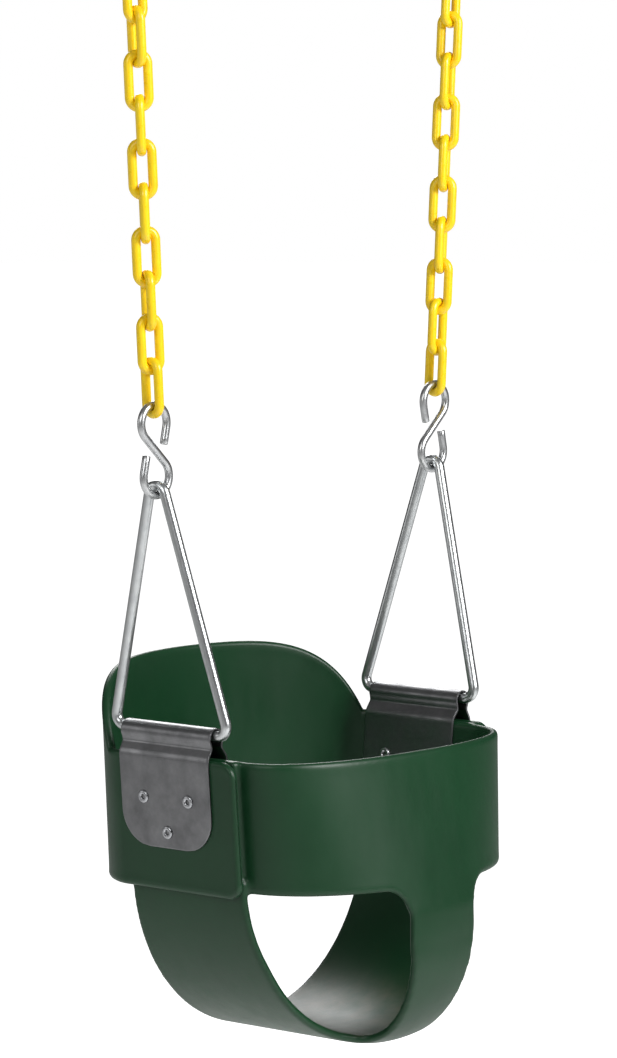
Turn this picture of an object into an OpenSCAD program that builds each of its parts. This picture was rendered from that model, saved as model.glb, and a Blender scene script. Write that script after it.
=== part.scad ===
// High-back toddler bucket swing, hung by two coated chains.
// X runs from the left hanger to the right hanger, +Y to the back of the seat, +Z up.
// The origin is midway between the two points that the top hooks hang from.
// The seat is drawn with z = 0 at the base bars of the hanger triangles, then lowered.

/* [Seat shell] */
// Distance between the two hanger bars
bar_sep = 284; // [260:1:310]
// Thickness of the moulded sheet
sheet_t = 6.2; // [5:0.1:7]
// Inward lean of the seat sides and brackets, in degrees
side_lean = 4.8; // [3:0.1:6]
// Level of the band and flap top edges, below the bars
band_top = 17.6; // [17:0.1:20]
// Level of the front band's bottom edge, below the bars
band_bottom = 116; // [110:1:122]
// Level of the back panel's bottom edge, below the bars
back_bottom = 119; // [112:1:124]
// Lowest point of the seat, below the bars
seat_depth = 242; // [236:1:250]
// Reach of the back panel behind the bars, at bar level
back_reach = 125; // [118:1:132]
// Reach of the front band ahead of the bars, at its top edge
front_reach = 122.5; // [116:0.5:128]
// Height of the back rim above the band top
back_rise = 58; // [50:0.5:70]
// Distance over which the back rim rises
back_run = 66; // [55:1:72]
// Distance from the bars to the flaps' front ends
flap_reach = 66; // [60:1:72]

/* [Sling and crotch strap] */
// Back edge of the sling, behind the bars
sling_back = 47; // [45:1:52]
// Front edge of the sling, ahead of the bars
sling_front = 61; // [57:1:63]
// Half width of the crotch strap where it leaves the band
strap_half = 35; // [30:1:40]
// Half width of the crotch strap at its narrowest
strap_neck = 25; // [22:1:30]
// Radius of the fillets between strap and band
strap_fillet = 18; // [14:1:20]

/* [Hanger triangles] */
// Wire diameter of the triangles
tri_wire = 8; // [7:0.5:9]
// Base length of a triangle, between wire centres
tri_base = 108; // [106:1:116]
// Height of a triangle, from base wire centre to apex wire centre
tri_height = 182; // [170:1:195]
// Bend radius of the triangle corners, at the wire centre
tri_bend = 8; // [7:0.5:8]

/* [Brackets and rivets] */
// Thickness of the bracket plate
plate_t = 1.5; // [1.2:0.1:2]
// Width of a bracket
plate_w = 88; // [80:1:90]
// Bottom edge of a bracket, below the bar
plate_bottom = 86; // [82:1:95]
// Radius of the bracket's lower corners
plate_corner = 26; // [18:1:30]
// Radius of a rivet shank
rivet_r = 3; // [2.5:0.1:3.5]
// Radius of a rivet head
rivet_head_r = 4.8; // [4:0.1:5]
// Distance between the two upper rivets
rivet_gap = 44; // [36:1:50]
// Level of the two upper rivets, below the bar
rivet_upper = 49; // [46:1:52]
// Level of the lower rivet, below the bar
rivet_lower = 74; // [70:1:76]

/* [Chains and hooks] */
// Diameter of the coated chain wire
link_wire = 6.4; // [6:0.1:6.6]
// Inside length of a link
link_inner = 32; // [30:0.5:36]
// Inside width of a link
link_gap = 8; // [7.6:0.1:9]
// Links in each chain
links = 10; // [10:1:10]
// Outward lean of the chains, in degrees
chain_lean = 3.5; // [2:0.1:4.5]
// Wire diameter of the S-hooks
hook_wire = 6; // [5.5:0.1:6.3]
// Height of an S-hook
hook_height = 72; // [68:1:78]
// Width of an S-hook
hook_width = 33; // [31:0.5:35]
// Play between one hanging piece and the next
play = 0.35; // [0.3:0.05:0.5]

/* [Hidden] */
$fn = 48;
LEFT = -1;
RIGHT = 1;

// How far each link is turned about its chain, from the top link down. Every second link
// is then turned a quarter more, as links that hang in one another are.
left_turn = [-6, -20, -34, -47, -48, -45, -36, -31, -20, -8];
right_turn = [6, 12, 20, 28, 30, 30, 29, 20, 6, -8];

lean_slope = tan(side_lean);
layer = sheet_t + 0.1;
skin = sheet_t / 2;
stack_half = 1.5 * layer;

// Hanging geometry, measured along each chain from the triangle's apex wire
hook_r = (hook_width - hook_wire) / 2;
hook_c = (hook_height - hook_wire) / 2 - hook_r;
hook_low = -(tri_wire + hook_wire) / 2 - play;
hook_mid = hook_low + hook_c + hook_r;
hook_high = hook_mid + hook_c + hook_r;
link_half = (link_inner + link_wire) / 2;
link_r = (link_gap + link_wire) / 2;
link_pitch = link_inner - play;
link_first = hook_high - (hook_wire + link_wire) / 2 - play + link_half;
top_low = link_first + (links - 1) * link_pitch + link_half - (hook_wire + link_wire) / 2 - play;
top_mid = top_low + hook_c + hook_r;
hang_at = top_mid + hook_c + hook_r - hook_wire / 2;
apex_x = bar_sep / 2 + tri_height * sin(side_lean);
apex_z = tri_height * cos(side_lean);
hang_h = apex_z + hang_at * cos(chain_lean);

// ---- helpers -------------------------------------------------------------------------

// Lowers what is drawn at bar level to its place below the hanging points
module seated() {
    translate([0, 0, -hang_h]) children();
}

// Puts what is drawn about a bar along Y at one side, leaning as the side does
module at_bar(side) {
    seated() translate([side * bar_sep / 2, 0, 0]) rotate([0, side * side_lean, 0]) children();
}

// Puts what is drawn about a chain's axis at one side, raised along the leaning chain
module on_chain(side, up) {
    seated() translate([side * apex_x, 0, apex_z]) rotate([0, side * chain_lean, 0])
        translate([0, 0, up]) children();
}

// Round bar between two points in the XZ plane
module rod(a, b, d) {
    run = b - a;
    translate([a[0], 0, a[1]]) rotate([0, atan2(run[0], run[1]), 0]) cylinder(d = d, h = norm(run));
}

// Round bar that laps a little way into the bends at both of its ends
module lapped_rod(a, b, d) {
    lap = 0.5 * (b - a) / norm(b - a);
    rod(a - lap, b + lap, d + 0.1);
}

// Bent round bar in the XZ plane, about a centre, between two angles
module bend(c, r, from, to, d) {
    translate([c[0], 0, c[1]]) rotate([90, 0, 0]) rotate([0, 0, from])
        rotate_extrude(angle = to - from) translate([r, 0]) circle(d = d);
}

// Closed skin from rows of points: the outer face's rows, then the inner face's
module skin_solid(outer, inner) {
    rows = len(outer);
    cols = len(outer[0]);
    back = rows * cols;
    points = concat([for (row = outer) for (p = row) p], [for (row = inner) for (p = row) p]);
    quads = concat(
        [for (i = [0:rows - 2], j = [0:cols - 2])
            [i * cols + j, i * cols + j + 1, (i + 1) * cols + j + 1, (i + 1) * cols + j]],
        [for (i = [0:rows - 2], j = [0:cols - 2])
            [back + (i + 1) * cols + j, back + (i + 1) * cols + j + 1,
             back + i * cols + j + 1, back + i * cols + j]],
        [for (j = [0:cols - 2]) [back + j, back + j + 1, j + 1, j]],
        [for (j = [0:cols - 2])
            [(rows - 1) * cols + j, (rows - 1) * cols + j + 1,
             back + (rows - 1) * cols + j + 1, back + (rows - 1) * cols + j]],
        [for (i = [0:rows - 2]) [i * cols, (i + 1) * cols, back + (i + 1) * cols, back + i * cols]],
        [for (i = [0:rows - 2])
            [back + i * cols + cols - 1, back + (i + 1) * cols + cols - 1,
             (i + 1) * cols + cols - 1, i * cols + cols - 1]]);
    faces = [for (q = quads) each [[q[0], q[1], q[2]], [q[0], q[2], q[3]]]];
    polyhedron(points = points, faces = faces);
}

// Rivet holes through one side's stack
module rivet_holes(side) {
    at_bar(side) for (at = rivet_places())
        translate([0, at[0], at[1]]) rotate([0, 90, 0])
            cylinder(r = rivet_r + 0.1, h = 6 * layer, center = true);
}

function rivet_places() = [
    [-rivet_gap / 2, -rivet_upper],
    [rivet_gap / 2, -rivet_upper],
    [0, -rivet_lower]];

// Point of a rounded wall at height z. Way 0..180 runs round the end; below 0 and above 180
// it runs along the straight sides, in millimetres from where the curve starts.
function wall_point(end, half, straight, reach, power, way, z) =
    let (x = half + z * lean_slope,
         bow = pow(sin(max(0, min(180, way))), 2 / power),
         run = way < 0 ? way : way > 180 ? 180 - way : 0,
         c = cos(max(0, min(180, way))))
    [-x * sign(c) * pow(abs(c), 2 / power), end * (straight + run + (reach - straight) * bow), z];

// ---- back panel ----------------------------------------------------------------------

back_straight = 47;
back_power = 1.72;
back_flare = tan(2.3);
flap_corner = 12;
flap_end = back_straight + flap_reach;
back_ways = concat(
    [for (d = [0, 1.6, 5, 12]) d - flap_end],
    [-back_straight, 0],
    [for (w = [6:6:174]) w],
    [180, 180 + back_straight],
    [for (d = [12, 5, 1.6, 0]) 180 + flap_end - d]);

// How much of the wall's height the rounded flap corner takes off
function corner_cut(way) =
    let (e = min(way + flap_end, 180 + flap_end - way))
    e >= flap_corner ? 0 : flap_corner - sqrt(max(0, pow(flap_corner, 2) - pow(flap_corner - e, 2)));

function back_y(way) = back_straight + (back_reach - back_straight)
    * pow(sin(max(0, min(180, way))), 2 / back_power);

// The rim rises from the flap top in one easing curve to the middle of the back
function back_rim(way) =
    let (short = min(1, (back_reach - back_y(way)) / back_run))
    -band_top + back_rise * (1 - pow(short, 2.3));

function back_face(off) = [for (v = [0, 1]) [for (way = back_ways)
    let (low = -back_bottom + corner_cut(way),
         high = back_rim(way) - corner_cut(way),
         z = low + v * (high - low))
    wall_point(1, bar_sep / 2 + layer + off, back_straight, back_reach - skin + off - z * back_flare,
        back_power, way, z)]];

module back_panel() {
    color("darkgreen") difference() {
        seated() skin_solid(back_face(skin), back_face(-skin));
        rivet_holes(LEFT);
        rivet_holes(RIGHT);
    }
}

// ---- sling, crotch strap and front band, moulded as one sheet ------------------------

band_straight = 59;
band_end = 42;
band_flare = 0.198;
strap_top = band_bottom + strap_fillet;
fillet_ways = [for (w = [57:3:123]) w];
band_ways = concat(
    [-band_straight - band_end, -band_straight, 0],
    [for (w = [9:8:50]) w], fillet_ways, [for (w = [130:8:171]) w],
    [180, 180 + band_straight, 180 + band_straight + band_end]);

// The band's bottom edge dips in two fillets to the top of the crotch strap
function band_low(way) =
    let (x = abs((bar_sep / 2 - 18) * cos(max(0, min(180, way)))),
         e = max(0, min(strap_fillet, strap_half + strap_fillet - x)))
    -band_bottom - strap_fillet + sqrt(pow(strap_fillet, 2) - pow(e, 2));

function band_face(off) = [for (v = [0, 0.4, 0.75, 1]) [for (way = band_ways)
    let (low = band_low(way),
         z = low + v * (-band_top - low),
         drop = -band_top - z)
    wall_point(-1, bar_sep / 2 - layer + off, band_straight,
        front_reach - skin + off + drop * band_flare, 2.38 - drop * 0.0028, way, z)]];

// U of the sling: way 0 is its lowest point, way 90 its side, more runs up the side
u_centre = -103;
u_half = bar_sep / 2 + u_centre * lean_slope - 0.6;
u_drop = seat_depth - skin + u_centre;
u_top = 93;
function u_point(way) =
    let (a = min(90, abs(way)), rise = max(0, abs(way) - 90))
    [sign(way) * (u_half * sin(a) + max(0, rise - 8) * lean_slope), 0,
     u_centre - u_drop * cos(a) + rise * (-u_centre - band_top) / u_top];
function u_along(way) =
    let (a = min(90, abs(way)), s = sign(way))
    abs(way) > 90 ? [s * lean_slope, 0, 1] * s : [u_half * cos(a), 0, s * u_drop * sin(a)];

// J of the strap, seen from the side: it leaves the sling level and climbs to the band
j_from = -76;
j_reach = 64;
j_rise = 79;
function j_point(a) = [0, j_from - j_reach * sin(a), j_rise * (1 - cos(a))];

// Half span of the sling at each y: full at its sides, then the leg holes' lips sweep in
side_rows = [sling_back, -10, -sling_front];
function lip_span(y) = 90 - 17 * sqrt((-sling_front - y) / 2);
function edge_span(y) = asin((strap_neck + 93 * exp((y + 67) / 5.5)) / u_half);
function strap_span(a) = a < 30 ? edge_span(j_point(a)[1])
    : asin((strap_neck + (strap_half - strap_neck) * (a - 30) / 60) / u_half);

// Rows of the sling from back to front: [y, rise, direction in y and z, half span of the U]
function sling_row(y, span) = [y, 0, [0, -1, 0], span];
function strap_row(a) = [j_point(a)[1], j_point(a)[2], [0, -j_reach * cos(a), j_rise * sin(a)], strap_span(a)];
strap_lift = seat_depth - skin - j_rise - strap_top;
sling_rows = concat(
    [for (y = side_rows) sling_row(y, 90)],
    [for (y = [-61.5, -62.3, -63.5, -65]) sling_row(y, lip_span(y))],
    [for (y = [-67:-1:-75]) sling_row(y, edge_span(y))],
    [for (a = [0:7.5:90]) strap_row(a)],
    [for (k = [0.5, 1.15]) [j_point(90)[1] - 3.4 * k, j_rise + strap_lift * k,
        [0, -0.12, 1], asin(strap_half / u_half)]]);
sling_cols = 20;

function sling_place(y, rise, ahead, way, off) =
    let (n = cross(u_along(way), ahead))
    u_point(way) + [0, y, rise] + off * n / norm(n);

function sling_face(off) = [for (row = sling_rows) [for (k = [-sling_cols:sling_cols])
    sling_place(row[0], row[1], row[2], row[3] * k / sling_cols, off)]];

// The sling's two ends, which run up between the brackets' legs
function tab_face(ways, off) = [for (y = side_rows) [for (way = ways)
    sling_place(y, 0, [0, -1, 0], way, off)]];

module seat_sling() {
    color("green") difference() {
        seated() union() {
            skin_solid(band_face(-skin), band_face(skin));
            skin_solid(sling_face(-skin), sling_face(skin));
            for (ways = [[-90 - u_top, -90], [90, 90 + u_top]])
                skin_solid(tab_face(ways, -skin), tab_face(ways, skin));
        }
        rivet_holes(LEFT);
        rivet_holes(RIGHT);
    }
}

// ---- brackets ------------------------------------------------------------------------

loop_r = 6.95;
loop_drop = loop_r - plate_t / 2 - tri_wire / 2 - 0.3;
loop_open = 35;
waist = [5.4, -9.3];
plate_x = stack_half + plate_t / 2 + 0.05;
shoulder = [plate_x, -16.6];
loop_foot = [loop_r * cos(loop_open), -loop_drop - loop_r * sin(loop_open)];

// Flat strip of plate between two points, with round ends
module strip(a, b) {
    side = [b[1] - a[1], a[0] - b[0]] / norm(b - a) * plate_t / 2;
    polygon([a + side, b + side, b - side, a - side]);
    for (p = [a, b]) translate(p) circle(d = plate_t, $fn = 24);
}

// End view of the folded plate: a loop over the bar, a waist, and a leg on each side
module bracket_section() {
    difference() {
        translate([0, -loop_drop]) difference() {
            circle(r = loop_r + plate_t / 2);
            circle(r = loop_r - plate_t / 2);
        }
        polygon([[0, -loop_drop], 3 * (loop_foot + [0, loop_drop]) + [0, -loop_drop],
            [-3 * loop_foot[0], 3 * (loop_foot[1] + loop_drop) - loop_drop]]);
    }
    for (s = [-1, 1]) mirror([s < 0 ? 1 : 0, 0]) {
        strip(loop_foot, waist);
        strip(waist, shoulder);
        strip(shoulder, [plate_x, -plate_bottom - 1]);
    }
}

// Side view of the bracket, with its two lower corners rounded
module bracket_outline() {
    low = -plate_bottom + plate_corner;
    translate([-plate_w / 2, low]) square([plate_w, plate_bottom - plate_corner + 12]);
    translate([-plate_w / 2 + plate_corner, -plate_bottom])
        square([plate_w - 2 * plate_corner, plate_corner + 1]);
    for (s = [-1, 1]) translate([s * (plate_w / 2 - plate_corner), low]) circle(r = plate_corner);
}

module bracket(side) {
    color("dimgray") difference() {
        at_bar(side) intersection() {
            rotate([90, 0, 0]) linear_extrude(plate_w, center = true) bracket_section();
            rotate([90, 0, 90]) linear_extrude(4 * layer, center = true) bracket_outline();
        }
        rivet_holes(side);
    }
}

// Half profile of a hollow rivet, from its middle outwards along its axis
module rivet_half() {
    face = stack_half + plate_t + 0.08;
    rotate_extrude() polygon([[0, 0], [rivet_r, 0], [rivet_r, face], [rivet_head_r, face],
        [rivet_head_r, face + 0.5], [rivet_head_r - 0.9, face + 1.3], [2.3, face + 1.3],
        [1.6, face + 0.6], [1.6, face - 3], [0, face - 3]]);
}

module rivets(side) {
    color("silver") at_bar(side) for (at = rivet_places())
        translate([0, at[0], at[1]]) rotate([0, 90, 0]) {
            rivet_half();
            mirror([0, 0, 1]) rivet_half();
        }
}

// ---- hanger triangles ----------------------------------------------------------------

tri_in = tri_base / 2 - tri_bend;
tri_up = tri_height - 2 * tri_bend;
tri_tilt = atan2(tri_in, tri_up);

// Drawn in the XZ plane about the middle of the base wire, then turned to stand along Y
module triangle(side) {
    out = tri_bend * [cos(tri_tilt), sin(tri_tilt)];
    color("gainsboro") at_bar(side) rotate([0, 0, 90]) {
        lapped_rod([-tri_in, 0], [tri_in, 0], tri_wire);
        for (s = [0, 1]) mirror([s, 0, 0]) {
            bend([tri_in, tri_bend], tri_bend, -90, tri_tilt, tri_wire);
            lapped_rod([tri_in, tri_bend] + out, [0, tri_height - tri_bend] + out, tri_wire);
        }
        bend([0, tri_height - tri_bend], tri_bend, tri_tilt, 180 - tri_tilt, tri_wire);
    }
}

// ---- S-hooks -------------------------------------------------------------------------

hook_cross = asin(hook_r / hook_c);
hook_lip = -16;
lip_run = 13;

// Drawn in the XZ plane about its middle; each end is the other one turned round
module s_hook() {
    lip = [0, hook_c] + hook_r * [cos(hook_lip), sin(hook_lip)];
    cross_end = [0, hook_c] - hook_r * [cos(hook_cross), sin(hook_cross)];
    lapped_rod(-cross_end, cross_end, hook_wire);
    for (s = [0, 180]) rotate([0, s, 0]) {
        bend([0, hook_c], hook_r, hook_lip, 180 + hook_cross, hook_wire);
        lapped_rod(lip, lip + lip_run * [sin(hook_lip), -cos(hook_lip)], hook_wire);
    }
}

module side_s_hook(side) {
    color("lightgray") on_chain(side, hook_mid) mirror([side > 0 ? 1 : 0, 0, 0]) s_hook();
}

module top_hook(side) {
    color("lightgray") on_chain(side, top_mid) rotate([0, 0, 90]) s_hook();
}

// ---- chain ---------------------------------------------------------------------------

// Drawn in the XZ plane about its middle
module link() {
    straight = link_half - link_r;
    for (s = [-1, 1]) rod([s * link_r, -straight], [s * link_r, straight], link_wire);
    bend([0, straight], link_r, 0, 180, link_wire);
    bend([0, -straight], link_r, 180, 360, link_wire);
}

// Link number n of a chain, counted from the top
module chain_link(side, n) {
    turns = side < 0 ? left_turn : right_turn;
    color("gold") on_chain(side, link_first + (links - n) * link_pitch)
        rotate([0, 0, turns[n - 1] + (n % 2 == 0 ? 90 : 0)]) link();
}

back_panel();
seat_sling();
bracket(LEFT);  // left_bracket
bracket(RIGHT);  // right_bracket
rivets(LEFT);  // left_rivets
rivets(RIGHT);  // right_rivets
triangle(LEFT);  // left_triangle
triangle(RIGHT);  // right_triangle
side_s_hook(LEFT);  // left_s_hook
side_s_hook(RIGHT);  // right_s_hook
top_hook(LEFT);  // left_top_hook
top_hook(RIGHT);  // right_top_hook
for (n = [1:links]) {
    number = str(n < 10 ? "0" : "", n);
    chain_link(LEFT, n);
    chain_link(RIGHT, n);
}
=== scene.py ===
"""High-back toddler bucket swing: moulded seat, riveted brackets, wire hangers, coated chains."""

import math

import bpy
import numpy as np
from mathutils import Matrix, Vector


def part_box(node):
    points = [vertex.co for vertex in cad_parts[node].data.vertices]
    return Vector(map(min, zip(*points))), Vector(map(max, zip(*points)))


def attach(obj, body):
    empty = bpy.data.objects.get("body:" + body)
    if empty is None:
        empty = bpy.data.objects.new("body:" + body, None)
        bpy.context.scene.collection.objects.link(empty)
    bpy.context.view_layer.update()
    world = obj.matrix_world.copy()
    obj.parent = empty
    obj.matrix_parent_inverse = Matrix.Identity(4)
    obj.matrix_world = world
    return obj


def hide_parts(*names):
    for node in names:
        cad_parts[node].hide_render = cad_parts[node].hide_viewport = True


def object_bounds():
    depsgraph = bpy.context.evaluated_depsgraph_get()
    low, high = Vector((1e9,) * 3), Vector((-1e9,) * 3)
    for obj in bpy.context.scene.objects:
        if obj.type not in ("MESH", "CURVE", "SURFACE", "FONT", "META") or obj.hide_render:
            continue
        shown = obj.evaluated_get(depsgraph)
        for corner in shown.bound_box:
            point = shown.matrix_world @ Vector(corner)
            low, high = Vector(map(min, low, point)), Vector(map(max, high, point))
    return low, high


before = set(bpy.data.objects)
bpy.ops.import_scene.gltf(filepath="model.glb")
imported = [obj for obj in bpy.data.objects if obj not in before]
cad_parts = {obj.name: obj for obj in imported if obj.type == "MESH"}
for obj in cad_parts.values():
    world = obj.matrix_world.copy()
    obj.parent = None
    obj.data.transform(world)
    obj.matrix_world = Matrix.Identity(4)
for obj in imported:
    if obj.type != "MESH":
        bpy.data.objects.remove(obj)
cad_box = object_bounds()

# Camera. It stands in front of the left hanger, a little above the seat, 3.5 m away. The bars
# at the foot of the hanger triangles are the seat's datum, for height and from side to side.
WIRE = 0.008
bar_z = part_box("left_triangle")[0].z + WIRE / 2
bar_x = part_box("right_triangle")[0].x + WIRE / 2
look_turn, look_down, distance = math.radians(49.06), math.radians(5.4), 3.542
look = Vector((math.sin(look_turn) * math.cos(look_down), math.cos(look_turn) * math.cos(look_down),
               -math.sin(look_down)))
right = Vector((math.cos(look_turn), -math.sin(look_turn), 0))
aim = Vector((0, 0, bar_z)) + right * 0.00714 + right.cross(look) * 0.13766
camera = bpy.data.objects.new("camera", bpy.data.cameras.new("camera"))
bpy.context.scene.collection.objects.link(camera)
camera.location = aim - look * distance
camera.rotation_mode = "QUATERNION"
camera.rotation_quaternion = look.to_track_quat("-Z", "Y")
camera.data.sensor_width = 36
camera.data.lens = 159.7
camera.data.clip_end = 60
bpy.context.scene.camera = camera


# Seat moulding. Front band, sling and crotch strap are one sheet of soft green compound,
# pressed 6 mm thick with a rounded bead on every free edge. Its band ends run back inside
# the brackets, and the strap rises from the sling to the band between the two leg holes.
SHEET = 0.0062
LAYER = SHEET + 0.0001
BEAD = 0.0033
BAND_TOP, BAND_LOW, SLING_LOW = 0.0176, 0.116, 0.242
tri_low, tri_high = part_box("left_triangle")
lean = (tri_high.x - tri_low.x - WIRE) / (tri_high.z - tri_low.z - WIRE)


def grid_faces(rows, cols, start=0, ring=False):
    """Quads over a grid of points, row after row; a ring also joins its last column to its first."""
    i, j = np.meshgrid(np.arange(rows - 1), np.arange(cols if ring else cols - 1), indexing="ij")
    near, far = (i * cols + j).ravel(), (i * cols + (j + 1) % cols).ravel()
    return (np.stack([near, far, far + cols, near + cols], axis=1) + start).tolist()


def signed_power(base, power):
    return np.sign(base) * np.abs(base) ** power


def wall_plan(end, half, straight, reach, power, way):
    """Plan of a rounded wall: way 0 to 180 runs round its end, more or less along its sides."""
    turn = np.radians(np.clip(way, 0, 180))
    run = np.where(way < 0, way, np.where(way > 180, 180 - way, 0)) / 1000
    x = -half * signed_power(np.cos(turn), 2 / power)
    y = end * (straight + run + (reach - straight) * signed_power(np.sin(turn), 2 / power))
    return x, y


def wall_shell(plan, ways, low, high):
    """A wall of sheet with beaded edges and rounded ends, built from closed sections through it."""
    rise = np.linspace(0, 1, 24)
    rise = rise + 0.06 * np.sin(-2 * np.pi * rise)
    arc = np.radians(np.linspace(0, 180, 9)[1:-1])
    span = high - low - 2 * BEAD
    edge = np.minimum(rise, 1 - rise)[None, :] * span[:, None]
    face = SHEET / 2 + (BEAD - SHEET / 2) * np.exp(-((edge / 0.0035) ** 2))
    up = low[:, None] + BEAD + rise[None, :] * span[:, None]
    cap_up = (high - BEAD)[:, None] + BEAD * np.sin(arc)[None, :]
    cap_low = (low + BEAD)[:, None] - BEAD * np.sin(arc)[None, :]
    off_cap = np.broadcast_to(BEAD * np.cos(arc), cap_up.shape)
    z = np.concatenate([up, cap_up, up[:, ::-1], cap_low], axis=1)
    off = np.concatenate([face, off_cap, -face[:, ::-1], -off_cap], axis=1)
    way = np.broadcast_to(ways[:, None], z.shape)
    from_end = np.minimum(ways - ways[0], ways[-1] - ways)[:, None] / 1000
    left = np.clip(1 - from_end / BEAD, 0, 1)
    off = off * np.sqrt(np.clip(1 - left ** 2, 0.0004, 1))
    x, y = plan(way, z)
    x2, y2 = plan(way + 0.05, z)
    x1, y1 = plan(way - 0.05, z)
    tx, ty = x2 - x1, y2 - y1
    size = np.hypot(tx, ty)
    normal = plan(90.0, np.array(0.0))[1]
    flip = 1 if normal > 0 else -1
    points = np.stack([x - flip * ty / size * off, y + flip * tx / size * off, z + bar_z], axis=2)
    cols = z.shape[1]
    faces = grid_faces(len(ways), cols, ring=True)
    faces += [list(range(cols)), list(range(len(ways) * cols - 1, (len(ways) - 1) * cols - 1, -1))]
    return points.reshape(-1, 3), faces


def swept_wire(path, radius, closed=False, sides=20, chamfer=0.0):
    """Round wire along a path of points; open ends are closed, with a chamfer if one is given."""
    path = np.asarray(path, float)
    radii = np.full(len(path), float(radius))
    if not closed:
        ends = path[[0, -1]] - 1e-5 * (path[[1, -2]] - path[[0, -1]])
        inset = chamfer * (path[[1, -2]] - path[[0, -1]])
        inset /= np.linalg.norm(path[[1, -2]] - path[[0, -1]], axis=1)[:, None]
        path = np.concatenate([ends[:1], path[:1] + inset[:1], path[1:-1], path[-1:] + inset[1:], ends[1:]])
        radii = np.concatenate([[radius - chamfer], radii, [radius - chamfer]])
    ahead = np.roll(path, -1, 0) - np.roll(path, 1, 0)
    if not closed:
        ahead[0], ahead[-1] = path[2] - path[1], path[-2] - path[-3]
    ahead /= np.linalg.norm(ahead, axis=1)[:, None]
    side = np.cross(ahead[0], [0.31, 0.92, 0.24])
    turn = np.linspace(0, 2 * np.pi, sides, endpoint=False)
    rings = []
    for centre, direction, r in zip(path, ahead, radii):
        side = side - direction * side.dot(direction)
        side /= np.linalg.norm(side)
        other = np.cross(direction, side)
        rings.append(centre + r * (np.cos(turn)[:, None] * side + np.sin(turn)[:, None] * other))
    points = np.concatenate(rings)
    count = len(path)
    faces = grid_faces(count, sides, ring=True)
    if closed:
        last = points[(count - 1) * sides:]
        shift = int(np.argmin(np.linalg.norm(last - points[0], axis=1)))
        for k in range(sides):
            a, b = (k + shift) % sides, (k + 1 + shift) % sides
            faces.append([(count - 1) * sides + a, (count - 1) * sides + b, (k + 1) % sides, k])
    else:
        faces += [list(range(sides))[::-1], list(range((count - 1) * sides, count * sides))]
    return points, faces


def piece(name, parts, finish):
    """One smooth-shaded mesh object from lists of points and faces, all in the swing's frame."""
    points, faces, start = [], [], 0
    for part_points, part_faces in parts:
        points.append(part_points)
        faces += [[k + start for k in face] for face in part_faces]
        start += len(part_points)
    mesh = bpy.data.meshes.new(name)
    mesh.from_pydata(np.concatenate(points).tolist(), [], faces)
    mesh.update()
    mesh.shade_smooth()
    mesh.materials.append(finish)
    made = bpy.data.objects.new(name, mesh)
    bpy.context.scene.collection.objects.link(made)
    return made


def finish_nodes(name):
    """A new material, with its shader and a function that adds a node with its values set."""
    made = bpy.data.materials.new(name)
    made.use_nodes = True
    tree = made.node_tree

    def add(kind, **values):
        node = tree.nodes.new(kind)
        for key, value in values.items():
            if key in node.inputs:
                node.inputs[key].default_value = value
            else:
                setattr(node, key, value)
        return node

    return made, tree.nodes["Principled BSDF"], add, tree.links.new


def noise(add, link, scale, detail=3.0, rough=0.5, stretch=(1, 1, 1)):
    """Noise fixed to the object, in features per metre."""
    place = add("ShaderNodeTexCoord")
    spread = add("ShaderNodeMapping", Scale=stretch)
    pattern = add("ShaderNodeTexNoise", Scale=scale, Detail=detail, Roughness=rough)
    link(place.outputs["Object"], spread.inputs["Vector"])
    link(spread.outputs["Vector"], pattern.inputs["Vector"])
    return pattern.outputs["Fac"]


def ramp(add, link, source, low, high, start=0.3, stop=0.7):
    """Blends from one colour to another as the source rises."""
    blend = add("ShaderNodeValToRGB")
    first, last = blend.color_ramp.elements
    first.position, last.position = start, stop
    first.color, last.color = (*low, 1), (*high, 1)
    link(source, blend.inputs["Fac"])
    return blend.outputs["Color"]


def bump(add, link, source, depth, strength=1.0, below=None):
    """Raises the surface by the source, in metres."""
    raised = add("ShaderNodeBump", Strength=strength, Distance=depth)
    link(source, raised.inputs["Height"])
    if below is not None:
        link(below, raised.inputs["Normal"])
    return raised.outputs["Normal"]


def dust_and_painted_sheen(add, link, clean):
    """Warm grey-brown dust and a painted sheen of light from above, on upward faces near the sling's lowest
    point.
    """
    place, facing = add("ShaderNodeTexCoord"), add("ShaderNodeNewGeometry")
    dust_sheen_mix = add("ShaderNodeMix", data_type="RGBA")
    at, tilt = add("ShaderNodeSeparateXYZ"), add("ShaderNodeSeparateXYZ")
    link(place.outputs["Object"], at.inputs["Vector"])
    link(facing.outputs["Normal"], tilt.inputs["Vector"])
    low = add("ShaderNodeMapRange", interpolation_type="SMOOTHSTEP")
    low.inputs["From Min"].default_value, low.inputs["From Max"].default_value = bar_z - 0.195, bar_z - 0.236
    # Upward faces get the most: the mark is partly dust and partly a painted sheen of light falling from
    # above.
    up = add("ShaderNodeMapRange", interpolation_type="SMOOTHSTEP")
    up.inputs["From Min"].default_value, up.inputs["From Max"].default_value = 0.45, 0.95
    link(at.outputs["Z"], low.inputs["Value"])
    link(tilt.outputs["Z"], up.inputs["Value"])
    dust_sheen_blotch = ramp(add, link, noise(add, link, 38, 5, 0.65), (0.0,) * 3, (0.5,) * 3, 0.38, 0.74)
    both, share = add("ShaderNodeMath", operation="MULTIPLY"), add("ShaderNodeMath", operation="MULTIPLY")
    link(low.outputs["Result"], both.inputs[0])
    link(up.outputs["Result"], both.inputs[1])
    link(both.outputs["Value"], share.inputs[0])
    link(dust_sheen_blotch, share.inputs[1])
    link(share.outputs["Value"], dust_sheen_mix.inputs["Factor"])
    link(clean, dust_sheen_mix.inputs["A"])
    # Dust and painted sheen colour: a warm grey-brown, lighter than the green.
    dust_sheen_mix.inputs["B"].default_value = (0.11, 0.088, 0.055, 1)
    return dust_sheen_mix.outputs["Result"]


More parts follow.
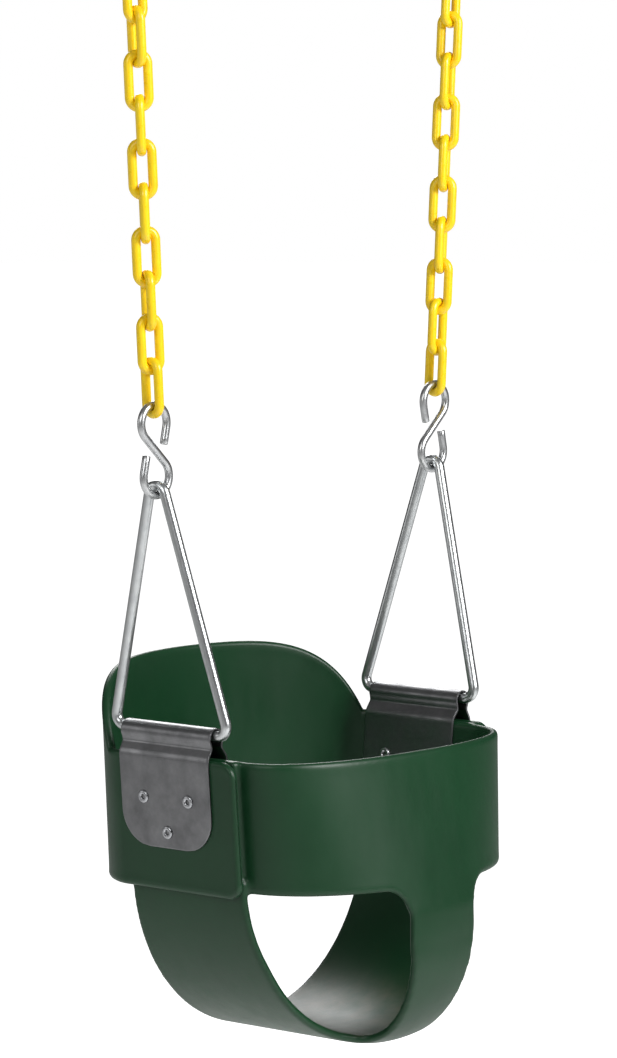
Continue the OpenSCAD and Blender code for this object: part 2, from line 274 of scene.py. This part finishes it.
def green_compound(name):
    """Moulded green rubbery compound: fine mould grain, soft handling marks, satin sheen."""
    made, shader, add, link = finish_nodes(name)
    cloud = noise(add, link, 9, 4, 0.6)
    grain = noise(add, link, 1500, 2, 0.5)
    flow = noise(add, link, 60, 5, 0.65, (1, 1, 0.35))
    clean = ramp(add, link, cloud, (0.0030, 0.035, 0.0108), (0.0042, 0.044, 0.0138))
    # Mixes warm grey-brown dust and a painted sheen into upward faces of the sling's inside floor.
    link(dust_and_painted_sheen(add, link, clean), shader.inputs["Base Color"])
    link(ramp(add, link, flow, (0.36,) * 3, (0.46,) * 3, 0.25, 0.8), shader.inputs["Roughness"])
    soft = bump(add, link, flow, 0.0006, 0.12)
    link(bump(add, link, grain, 0.00012, 0.35, soft), shader.inputs["Normal"])
    shader.inputs["Specular IOR Level"].default_value = 0.42
    shader.inputs["Sheen Weight"].default_value = 0.02
    shader.inputs["Sheen Roughness"].default_value = 0.4
    shader.inputs["Sheen Tint"].default_value = (0.75, 1.0, 0.82, 1)
    return made


seat_green = green_compound("moulded_green_seat")
STRAP_HALF, STRAP_NECK, FILLET = 0.035, 0.025, 0.018
SLING_BACK, SLING_FRONT = 0.047, -0.061
strap_top = BAND_LOW + FILLET


def band_plan(way, z):
    half = bar_x - LAYER + z * lean
    drop = np.clip(-BAND_TOP - z, -0.01, 0.2)
    reach = 0.1225 - SHEET / 2 + drop * 0.198
    return wall_plan(-1, half, 0.059, reach, 2.38 - drop * 2.8, way)


def band_edge(way):
    """Level of the band's bottom edge, which dips in two fillets to the strap."""
    x = np.abs((bar_x - 0.018) * np.cos(np.radians(np.clip(way, 0, 180))))
    into = np.clip(STRAP_HALF + FILLET - x, 0, FILLET)
    return -BAND_LOW - FILLET + np.sqrt(FILLET ** 2 - into ** 2)


band_ways = np.concatenate([np.linspace(-101, 0, 30), np.linspace(0, 55, 40)[1:],
                            np.linspace(55, 125, 160)[1:], np.linspace(125, 180, 40)[1:],
                            np.linspace(180, 281, 30)[1:]])
band = wall_shell(band_plan, band_ways, band_edge(band_ways), np.full(len(band_ways), -BAND_TOP))

# The sling hangs as a U between the brackets; its strap climbs forward as a J.
u_mid, u_rise = -0.103, 0.0854
u_half = bar_x + u_mid * lean - 0.0006
u_drop = SLING_LOW - SHEET / 2 + u_mid
j_start, j_reach, j_rise = -0.076, 0.064, 0.079


def sling_point(way, y, lift):
    """A point of the U: way 0 is its lowest point, 90 its side, and more climbs the side."""
    bend = np.radians(np.minimum(90, np.abs(way)))
    climb = np.maximum(0, np.abs(way) - 90) / 93
    x = np.sign(way) * (u_half * np.sin(bend) + np.maximum(0, climb - 0.086) * u_rise * lean)
    return np.stack([x, y + 0 * x, u_mid - u_drop * np.cos(bend) + climb * u_rise + lift + bar_z], axis=-1)


def lip_span(y):
    """Half span of the sling ahead of its straight sides, where the leg holes' edge sweeps in."""
    if y > -0.0672:
        return 90 - 17 * math.sqrt((SLING_FRONT - y) / 0.002)
    return math.degrees(math.asin((STRAP_NECK + 0.093 * math.exp((y + 0.067) / 0.0055)) / u_half))


sling_rows = [(y, 0, 90) for y in np.linspace(SLING_BACK, SLING_FRONT, 30)]
sling_rows += [(y, 0, lip_span(y)) for y in np.linspace(-0.06105, j_start, 60)]
for angle in np.linspace(0, 90, 46)[1:]:
    y = j_start - j_reach * math.sin(math.radians(angle))
    if angle < 30:
        half = STRAP_NECK + 0.093 * math.exp((y + 0.067) / 0.0055)
    else:
        half = STRAP_NECK + (STRAP_HALF - STRAP_NECK) * (angle - 30) / 60
    rise = j_rise * (1 - math.cos(math.radians(angle)))
    sling_rows.append((y, rise, math.degrees(math.asin(half / u_half))))
strap_lift = SLING_LOW - SHEET / 2 - j_rise - strap_top
strap_top_row = sling_rows[-1]
for share in np.linspace(0, 1.75, 22)[1:]:
    sling_rows.append((strap_top_row[0] - 0.0034 * share, j_rise + strap_lift * share, strap_top_row[2]))
across = np.linspace(-1, 1, 181)
sling_mid = np.array([sling_point(across * span, y, lift) for y, lift, span in sling_rows])
strap_x, strap_z = sling_mid[:, :, 0], sling_mid[:, :, 2] - bar_z
into_band = np.clip((strap_z + 0.190) / 0.056, 0, 1) * (np.arange(len(sling_rows)) > 110)[:, None]
into_band = into_band ** 2 * (3 - 2 * into_band)
band_half = bar_x - LAYER + strap_z * lean
bow = (1 - np.minimum(0.9, np.abs(strap_x) / band_half) ** 2.08) ** (1 / 2.08)
band_reach = 0.1225 - SHEET / 2 + np.minimum(0.116, -BAND_TOP - strap_z) * 0.198
band_y = -0.059 - (band_reach - 0.059) * bow
sling_mid[:, :, 1] += into_band * (band_y - sling_mid[:, :, 1])


def sheet_solid(mid):
    """The sheet's full thickness about a grid of points on its middle."""
    along_u, along_row = np.gradient(mid, axis=1), np.gradient(mid, axis=0)
    out = np.cross(along_u, along_row)
    out *= SHEET / 2 / np.linalg.norm(out, axis=2)[:, :, None]
    rows, cols = mid.shape[:2]
    faces = grid_faces(rows, cols) + [f[::-1] for f in grid_faces(rows, cols, rows * cols)]
    rim = [j for j in range(cols)] + [i * cols + cols - 1 for i in range(1, rows)]
    rim += [(rows - 1) * cols + j for j in range(cols - 2, -1, -1)]
    rim += [i * cols for i in range(rows - 2, 0, -1)]
    faces += [[b, a, a + rows * cols, b + rows * cols] for a, b in zip(rim, rim[1:] + rim[:1])]
    return np.concatenate([(mid - out).reshape(-1, 3), (mid + out).reshape(-1, 3)]), faces


tabs = [np.array([sling_point(side * np.linspace(88, 183, 40)[::side], y, 0)
                  for y in np.linspace(SLING_BACK, SLING_FRONT, 30)]) for side in (-1, 1)]
edge_rows = [29, 30, *range(31, 149, 2)]


def inside_edge(edge, inner):
    """A line drawn in from the sheet's edge, so that a bead on it ends flush with that edge."""
    way = inner - edge
    return edge + way / np.linalg.norm(way, axis=1)[:, None] * BEAD


beads = [swept_wire(inside_edge(sling_mid[edge_rows, a], sling_mid[edge_rows, b]), BEAD, sides=12)
         for a, b in ((0, 2), (-1, -3))]
beads.append(swept_wire(inside_edge(sling_mid[0, 6:-6:2], sling_mid[1, 6:-6:2]), BEAD, sides=12))
sheets = [band, sheet_solid(sling_mid), *[sheet_solid(tab) for tab in tabs]]
moulding = piece("seat_moulding", sheets + beads, seat_green)
knit = moulding.modifiers.new("knit", "REMESH")
knit.mode, knit.voxel_size, knit.use_smooth_shade = "VOXEL", 0.0014, True
soften = moulding.modifiers.new("soften", "SMOOTH")
soften.factor, soften.iterations = 0.5, 14
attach(moulding, "seat")
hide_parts("seat_sling")


# Back panel. A second pressing of the same sheet wraps round the child's back, with a high
# rounded rim. Its two flaps lie outside the sling and end in rounded corners.
back_green = green_compound("moulded_green_back")
BACK_LOW, BACK_RISE, RISE_RUN, FLAP_CORNER = 0.119, 0.058, 0.066, 0.012
BACK_STRAIGHT, BACK_REACH, FLAP_END = 0.047, 0.125, 113.0
BACK_FLARE, BACK_POWER = 0.0402, 1.72
back_ways = np.concatenate([
    -FLAP_END + np.array([0, 0.15, 0.4, 0.8, 1.3, 2, 3, 4.5, 6, 8, 10, 12]), np.linspace(-99, 0, 40),
    np.linspace(0, 180, 241)[1:-1]])
back_ways = np.concatenate([back_ways, (180 - back_ways[:52])[::-1]])


def back_plan(way, z):
    half, reach = bar_x + LAYER + z * lean, BACK_REACH - SHEET / 2 - z * BACK_FLARE
    return wall_plan(1, half, BACK_STRAIGHT, reach, BACK_POWER, way)


def corner_cut(way):
    from_end = np.minimum(way + FLAP_END, 180 + FLAP_END - way) / 1000
    into = np.clip(FLAP_CORNER - from_end, 0, FLAP_CORNER)
    return FLAP_CORNER - np.sqrt(FLAP_CORNER ** 2 - into ** 2)


round_end = np.sin(np.radians(np.clip(back_ways, 0, 180))) ** (2 / BACK_POWER)
back_y = BACK_STRAIGHT + (BACK_REACH - BACK_STRAIGHT) * round_end
rim_share = np.clip((BACK_REACH - back_y) / RISE_RUN, 0, 1)
rim_level = -BAND_TOP + BACK_RISE * (1 - rim_share ** 2.3)
back = piece("back_panel_moulding", [wall_shell(
    back_plan, back_ways, -BACK_LOW + corner_cut(back_ways), rim_level - corner_cut(back_ways))], back_green)
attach(back, "seat")
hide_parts("back_panel")


# Brackets. Each is one galvanised plate, 1.5 mm thick, folded over the hanger's bar: a loop
# round the bar, a pinched waist under it, and a leg on each side of the green layers.
def worn_steel(name, dark, light, rough_low, rough_high, scale, stretch=(1, 1, 1)):
    """Zinc coated steel: cloudy tone, fine drawn lines and a slightly uneven gloss."""
    made, shader, add, link = finish_nodes(name)
    cloud = noise(add, link, scale, 6, 0.62)
    lines = noise(add, link, 500, 2, 0.5, stretch)
    link(ramp(add, link, cloud, dark, light, 0.3, 0.72), shader.inputs["Base Color"])
    link(ramp(add, link, cloud, (rough_high,) * 3, (rough_low,) * 3), shader.inputs["Roughness"])
    link(bump(add, link, lines, 0.00004, 0.08), shader.inputs["Normal"])
    shader.inputs["Metallic"].default_value = 1.0
    return made


PLATE, BRACKET_WIDE, BRACKET_LOW, BRACKET_CORNER = 0.0015, 0.088, 0.086, 0.026
LOOP_R, LOOP_OPEN = 0.00695, math.radians(35)
leg_x = 1.5 * LAYER + PLATE / 2 + 0.00005
loop_drop = LOOP_R - PLATE / 2 - WIRE / 2 - 0.0003
bracket_steel = worn_steel("galvanised_plate", (0.180, 0.182, 0.188), (0.300, 0.302, 0.310),
                           0.30, 0.42, 55, (1, 0.08, 1))


def rounded_path(corners, radius, steps=6):
    """A line through corners, each one turned in an arc of the given radius."""
    out = [corners[0]]
    for before, at, after in zip(corners, corners[1:], corners[2:]):
        a, b = (before - at), (after - at)
        reach = min(radius, 0.45 * np.linalg.norm(a), 0.45 * np.linalg.norm(b))
        start, stop = at + a / np.linalg.norm(a) * reach, at + b / np.linalg.norm(b) * reach
        for t in np.linspace(0, 1, steps):
            out.append((1 - t) ** 2 * start + 2 * t * (1 - t) * at + t * t * stop)
    return out + [corners[-1]]


def bracket_line():
    """Middle line of the folded plate, seen from its end, from one leg's foot to the other's."""
    arc = np.linspace(math.pi / 2, -LOOP_OPEN, 22)
    loop = [np.array([LOOP_R * math.cos(a), LOOP_R * math.sin(a) - loop_drop]) for a in arc]
    bends = rounded_path([loop[-1], np.array([0.0054, -0.0093]), np.array([leg_x, -0.0166]),
                          np.array([leg_x, -BRACKET_LOW])], 0.0028)
    legs = [np.array([leg_x, z]) for z in np.linspace(bends[-2][1], -BRACKET_LOW, 60)[1:]]
    half = loop[:-1] + bends[1:-1] + legs
    return np.array([p * [-1, 1] for p in half[::-1]] + half[1:])


def bracket_mesh(side):
    line = bracket_line()
    above_foot = np.clip(BRACKET_CORNER - (line[:, 1] + BRACKET_LOW), 0, BRACKET_CORNER)
    half = BRACKET_WIDE / 2 - BRACKET_CORNER + np.sqrt(BRACKET_CORNER ** 2 - above_foot ** 2)
    share = np.linspace(-1, 1, 45)
    tilt = np.arctan(lean) * side
    x = side * bar_x + line[:, 0] * np.cos(tilt) + line[:, 1] * np.sin(tilt)
    z = bar_z - line[:, 0] * np.sin(tilt) + line[:, 1] * np.cos(tilt)
    points = np.stack([np.broadcast_to(x[:, None], (len(line), 45)), half[:, None] * share[None, :],
                       np.broadcast_to(z[:, None], (len(line), 45))], axis=2)
    return points.reshape(-1, 3), grid_faces(len(line), 45)


for side, name in ((-1, "left"), (1, "right")):
    bracket = piece(name + "_folded_bracket", [bracket_mesh(side)], bracket_steel)
    thick = bracket.modifiers.new("plate", "SOLIDIFY")
    thick.thickness, thick.offset = PLATE, 0
    eased = bracket.modifiers.new("edge", "BEVEL")
    eased.width, eased.segments, eased.angle_limit = 0.00035, 2, math.radians(50)
    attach(bracket, "seat")
    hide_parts(name + "_bracket")


# Rivets. Hollow steel rivets, three in each bracket, go through both plates and the green
# sheet between them, and each end is rolled over into a round rim with a dished middle.
RIVET_R, RIM_R, RIM_HIGH = 0.003, 0.0048, 0.0013
rivet_steel = worn_steel("rivet_zinc", (0.42, 0.43, 0.45), (0.60, 0.61, 0.63), 0.24, 0.36, 120)
face_out = 1.5 * LAYER + PLATE + 0.00008


def rivet_mesh(side, y, z):
    """A rolled rivet turned about its own axis, out to its rim at both ends."""
    roll = np.radians(np.linspace(-25, 200, 12))
    mid, fat = (RIM_R + 0.0017) / 2, (RIM_R - 0.0017) / 2
    head = [(mid + fat * math.cos(a), face_out + 0.0003 + (RIM_HIGH - 0.0003) * max(0.0, math.sin(a)))
            for a in roll]
    profile = [(RIVET_R, 0.0), (RIVET_R, face_out), (RIM_R, face_out)] + head
    profile += [(0.0017, face_out - 0.0022), (0.0014, face_out - 0.0034), (0.00001, face_out - 0.0035)]
    profile = [(r, -h) for r, h in profile[:0:-1]] + profile
    turn = np.linspace(0, 2 * np.pi, 32, endpoint=False)
    tilt = math.atan(lean) * side
    points = []
    for r, h in profile:
        u, v, w = np.full(32, h), y + r * np.cos(turn), z + r * np.sin(turn)
        points.append(np.stack([side * bar_x + u * math.cos(tilt) + w * math.sin(tilt), v,
                                bar_z - u * math.sin(tilt) + w * math.cos(tilt)], axis=1))
    return np.concatenate(points), grid_faces(len(profile), 32, ring=True)


for side, name in ((-1, "left"), (1, "right")):
    rivets = piece(name + "_rolled_rivets", [rivet_mesh(side, y, z) for y, z in (
        (-0.022, -0.049), (0.022, -0.049), (0, -0.074))], rivet_steel)
    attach(rivets, "seat")
    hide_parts(name + "_rivets")


# Hanger triangles. Each is 8 mm zinc plated wire, bent at three corners and butt welded
# near the back corner of its base, where a ring of weld stands slightly proud.
hanger_zinc = worn_steel("bright_zinc_wire", (0.56, 0.58, 0.59), (0.70, 0.72, 0.72),
                         0.27, 0.35, 90, (1, 1, 0.06))
BEND_R = 0.008
tri_base = tri_high.y - tri_low.y - WIRE
tri_tall = math.hypot(tri_high.x - tri_low.x - WIRE, tri_high.z - tri_low.z - WIRE)


def arc_points(centre, radius, start, stop, steps=16):
    return [np.array([centre[0] + radius * math.cos(a), centre[1] + radius * math.sin(a)])
            for a in np.radians(np.linspace(start, stop, steps))]


def triangle_line():
    """Middle line of the bent wire: base, corner, leg, apex, leg, corner, as (across, up)."""
    inner, high = tri_base / 2 - BEND_R, tri_tall - BEND_R
    tilt = math.degrees(math.atan2(inner, high - BEND_R))
    turned = [arc_points((inner, BEND_R), BEND_R, -90, tilt),
              arc_points((0, high), BEND_R, tilt, 180 - tilt, 20),
              arc_points((-inner, BEND_R), BEND_R, 180 - tilt, 270)]
    line = []
    for here, after in zip(turned, turned[1:] + turned[:1]):
        line += here
        line += [here[-1] + (after[0] - here[-1]) * t for t in np.linspace(0, 1, 14)[1:-1]]
    return np.array(line)


for side, name in ((-1, "left"), (1, "right")):
    tilt = math.atan(lean) * side
    up = np.array([math.sin(tilt), 0, math.cos(tilt)])
    middle = np.array([side * bar_x, 0, bar_z])
    line = np.array([middle + p[1] * up + [0, p[0], 0] for p in triangle_line()])
    weld_at = middle + [0, tri_base / 2 - 0.013, 0]
    weld = swept_wire([weld_at + [0, t, 0] for t in (-0.0014, -0.0007, 0, 0.0007, 0.0014)],
                      WIRE / 2 + 0.0004, sides=24, chamfer=0.0004)
    bent_wire = swept_wire(line, WIRE / 2, closed=True, sides=28)
    triangle = piece(name + "_wire_triangle", [bent_wire, weld], hanger_zinc)
    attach(triangle, name + "_triangle")
    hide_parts(name + "_triangle")


# S-hooks. 6 mm zinc plated wire, bent cold into an open S and cut square at both ends. One
# joins each triangle to its chain, and one more hangs each chain from the swing's frame.
hook_zinc = worn_steel("hook_zinc", (0.52, 0.53, 0.54), (0.66, 0.67, 0.67), 0.27, 0.37, 110, (1, 1, 0.1))
HOOK_WIRE, HOOK_R, HOOK_C, LIP_TURN, LIP_RUN = 0.006, 0.0135, 0.0195, math.radians(-16), 0.0132


def middle_of(node):
    low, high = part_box(node)
    return np.array((low + high) / 2)


def chain_way(name):
    """Unit vector up one chain, from its lowest link to its highest."""
    up = middle_of(name + "_link_01") - middle_of(name + "_link_10")
    return up / np.linalg.norm(up)


def hook_line():
    """Middle line of the S: lip, bow, crossing, bow, lip, as (across, up)."""
    cross = math.degrees(math.asin(HOOK_R / HOOK_C))
    bow = arc_points((0, HOOK_C), HOOK_R, math.degrees(LIP_TURN), 180 + cross, 40)
    lip_way = np.array([math.sin(LIP_TURN), -math.cos(LIP_TURN)])
    lip = [bow[0] + t * LIP_RUN * lip_way for t in (1, 0.66, 0.33)]
    half = lip + bow
    cut = [half[-1] * (1 - t) for t in (0.25, 0.5, 0.75)]
    return np.array(half + cut + [p * -1 for p in (half + cut)[::-1]])


for side, name in ((-1, "left"), (1, "right")):
    up = chain_way(name)
    across = np.array([up[2], 0, -up[0]]) * -side
    for node, body, sideways in ((name + "_s_hook", name + "_s_hook", across),
                                 (name + "_top_hook", "top_hooks", np.array([0, 1.0, 0]))):
        line = [middle_of(node) + p[0] * sideways + p[1] * up for p in hook_line()]
        hook = piece(node + "_wire", [swept_wire(line, HOOK_WIRE / 2, sides=24, chamfer=0.0005)], hook_zinc)
        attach(hook, body)
        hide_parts(node)


# Chains. Welded steel links are dipped together in soft yellow coating. It is drawn half a
# millimetre thicker than the solid links, so neighbouring links press into one another.
LINK_WIRE, LINK_HALF, LINK_R = 0.0069, 0.0192, 0.0072


def yellow_coating():
    made, shader, add, link = finish_nodes("yellow_chain_coating")
    cloud = noise(add, link, 70, 3, 0.5)
    dimple = noise(add, link, 260, 2, 0.5)
    link(ramp(add, link, cloud, (0.98, 0.63, 0.004), (0.99, 0.70, 0.008)), shader.inputs["Base Color"])
    link(ramp(add, link, dimple, (0.26,) * 3, (0.36,) * 3), shader.inputs["Roughness"])
    link(bump(add, link, dimple, 0.0004, 0.25), shader.inputs["Normal"])
    shader.inputs["Subsurface Weight"].default_value = 0.12
    shader.inputs["Subsurface Radius"].default_value = (0.004, 0.0025, 0.0005)
    shader.inputs["Coat Weight"].default_value = 0.25
    shader.inputs["Coat Roughness"].default_value = 0.2
    return made


def flat_way(node, up):
    """Across direction of a link: square to the chain, in the plane that the link lies in."""
    points = np.array([v.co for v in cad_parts[node].data.vertices])
    first = np.cross(up, [0, 1.0, 0])
    first /= np.linalg.norm(first)
    second = np.cross(up, first)
    turns = np.radians(np.arange(0, 180, 0.5))
    ways = np.cos(turns)[:, None] * first + np.sin(turns)[:, None] * second
    return ways[int(np.argmax(np.ptp(points @ ways.T, axis=0)))]


def link_mesh(node, up):
    straight = LINK_HALF - LINK_R
    flat = arc_points((0, straight), LINK_R, 0, 180, 22)
    flat += [np.array([-LINK_R, straight * t]) for t in (0.5, 0, -0.5)]
    flat += arc_points((0, -straight), LINK_R, 180, 360, 22)
    flat += [np.array([LINK_R, straight * t]) for t in (-0.5, 0, 0.5)]
    wide, middle = flat_way(node, up), middle_of(node)
    return swept_wire([middle + p[0] * wide + p[1] * up for p in flat], LINK_WIRE / 2, closed=True, sides=24)


coating = yellow_coating()
for name in ("left", "right"):
    up = chain_way(name)
    for count in range(1, 11):
        node = f"{name}_link_{count:02d}"
        dipped = piece(node + "_dipped", [link_mesh(node, up)], coating)
        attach(dipped, node)
        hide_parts(node)


# Studio. A wide pale floor half a metre under the seat, a plain bright surround, and four soft
# lights. Floor and surround are dimmer for reflections than where they are looked at.
floor_mesh = bpy.data.meshes.new("floor")
turn = np.linspace(0, 2 * np.pi, 96, endpoint=False)
floor_z = cad_box[0].z - 0.55
floor_mesh.from_pydata([(30 * math.cos(a), 30 * math.sin(a), floor_z) for a in turn], [], [list(range(96))])
floor = bpy.data.objects.new("floor", floor_mesh)
bpy.context.scene.collection.objects.link(floor)
floor_white, floor_shader, add, link = finish_nodes("pale_floor")
floor_shader.inputs["Base Color"].default_value = (0.9, 0.9, 0.9, 1)
floor_shader.inputs["Roughness"].default_value = 0.9
floor_shader.inputs["Emission Color"].default_value = (1, 1, 1, 1)
floor_shader.inputs["Emission Strength"].default_value = 1.0
spot = add("ShaderNodeTexCoord")
span = add("ShaderNodeVectorMath", operation="LENGTH")
away = add("ShaderNodeMapRange")
away.inputs["From Min"].default_value, away.inputs["From Max"].default_value = 0.3, 2.0
away.inputs["To Min"].default_value, away.inputs["To Max"].default_value = 0.45, 1.0
seen = add("ShaderNodeLightPath")
glow = add("ShaderNodeMix")
link(spot.outputs["Object"], span.inputs[0])
link(span.outputs["Value"], away.inputs["Value"])
link(seen.outputs["Is Camera Ray"], glow.inputs["Factor"])
glow.inputs["A"].default_value = 0.16
link(away.outputs["Result"], glow.inputs["B"])
link(glow.outputs["Result"], floor_shader.inputs["Emission Strength"])
floor_mesh.materials.append(floor_white)

world = bpy.data.worlds.new("studio")
bpy.context.scene.world = world
world.use_nodes = True
tree = world.node_tree
surround = tree.nodes["Background"]
path = tree.nodes.new("ShaderNodeLightPath")
place = tree.nodes.new("ShaderNodeTexCoord")
split = tree.nodes.new("ShaderNodeSeparateXYZ")
climb = tree.nodes.new("ShaderNodeValToRGB")
mix = tree.nodes.new("ShaderNodeMix")
mix.data_type = "RGBA"
tree.links.new(place.outputs["Generated"], split.inputs["Vector"])
tree.links.new(split.outputs["Z"], climb.inputs["Fac"])
climb.color_ramp.elements[0].position, climb.color_ramp.elements[1].position = 0.15, 0.9
climb.color_ramp.elements[0].color = (0.03, 0.03, 0.03, 1)
climb.color_ramp.elements[1].color = (0.18, 0.18, 0.18, 1)
tree.links.new(path.outputs["Is Camera Ray"], mix.inputs["Factor"])
tree.links.new(climb.outputs["Color"], mix.inputs["A"])
mix.inputs["B"].default_value = (1, 1, 1, 1)
tree.links.new(mix.outputs["Result"], surround.inputs["Color"])
surround.inputs["Strength"].default_value = 1.0

seat_middle = Vector((0, 0, bar_z))
for name, place, size, power in (("key_light", (0.3, -2.3, 1.3), 1.2, 74),
                                 ("side_light", (-2.2, -0.5, 1.2), 1.2, 15),
                                 ("edge_light", (-1.9, 1.9, 0.6), 1.1, 4.5),
                                 ("back_light", (1.6, 1.8, 1.4), 1.2, 26)):
    lamp = bpy.data.objects.new(name, bpy.data.lights.new(name, "AREA"))
    bpy.context.scene.collection.objects.link(lamp)
    lamp.data.size, lamp.data.energy = size, power
    lamp.location = seat_middle + Vector(place)
    lamp.rotation_mode = "QUATERNION"
    lamp.rotation_quaternion = (seat_middle - lamp.location).to_track_quat("-Z", "Y")
bpy.context.scene.view_settings.view_transform = "Standard"
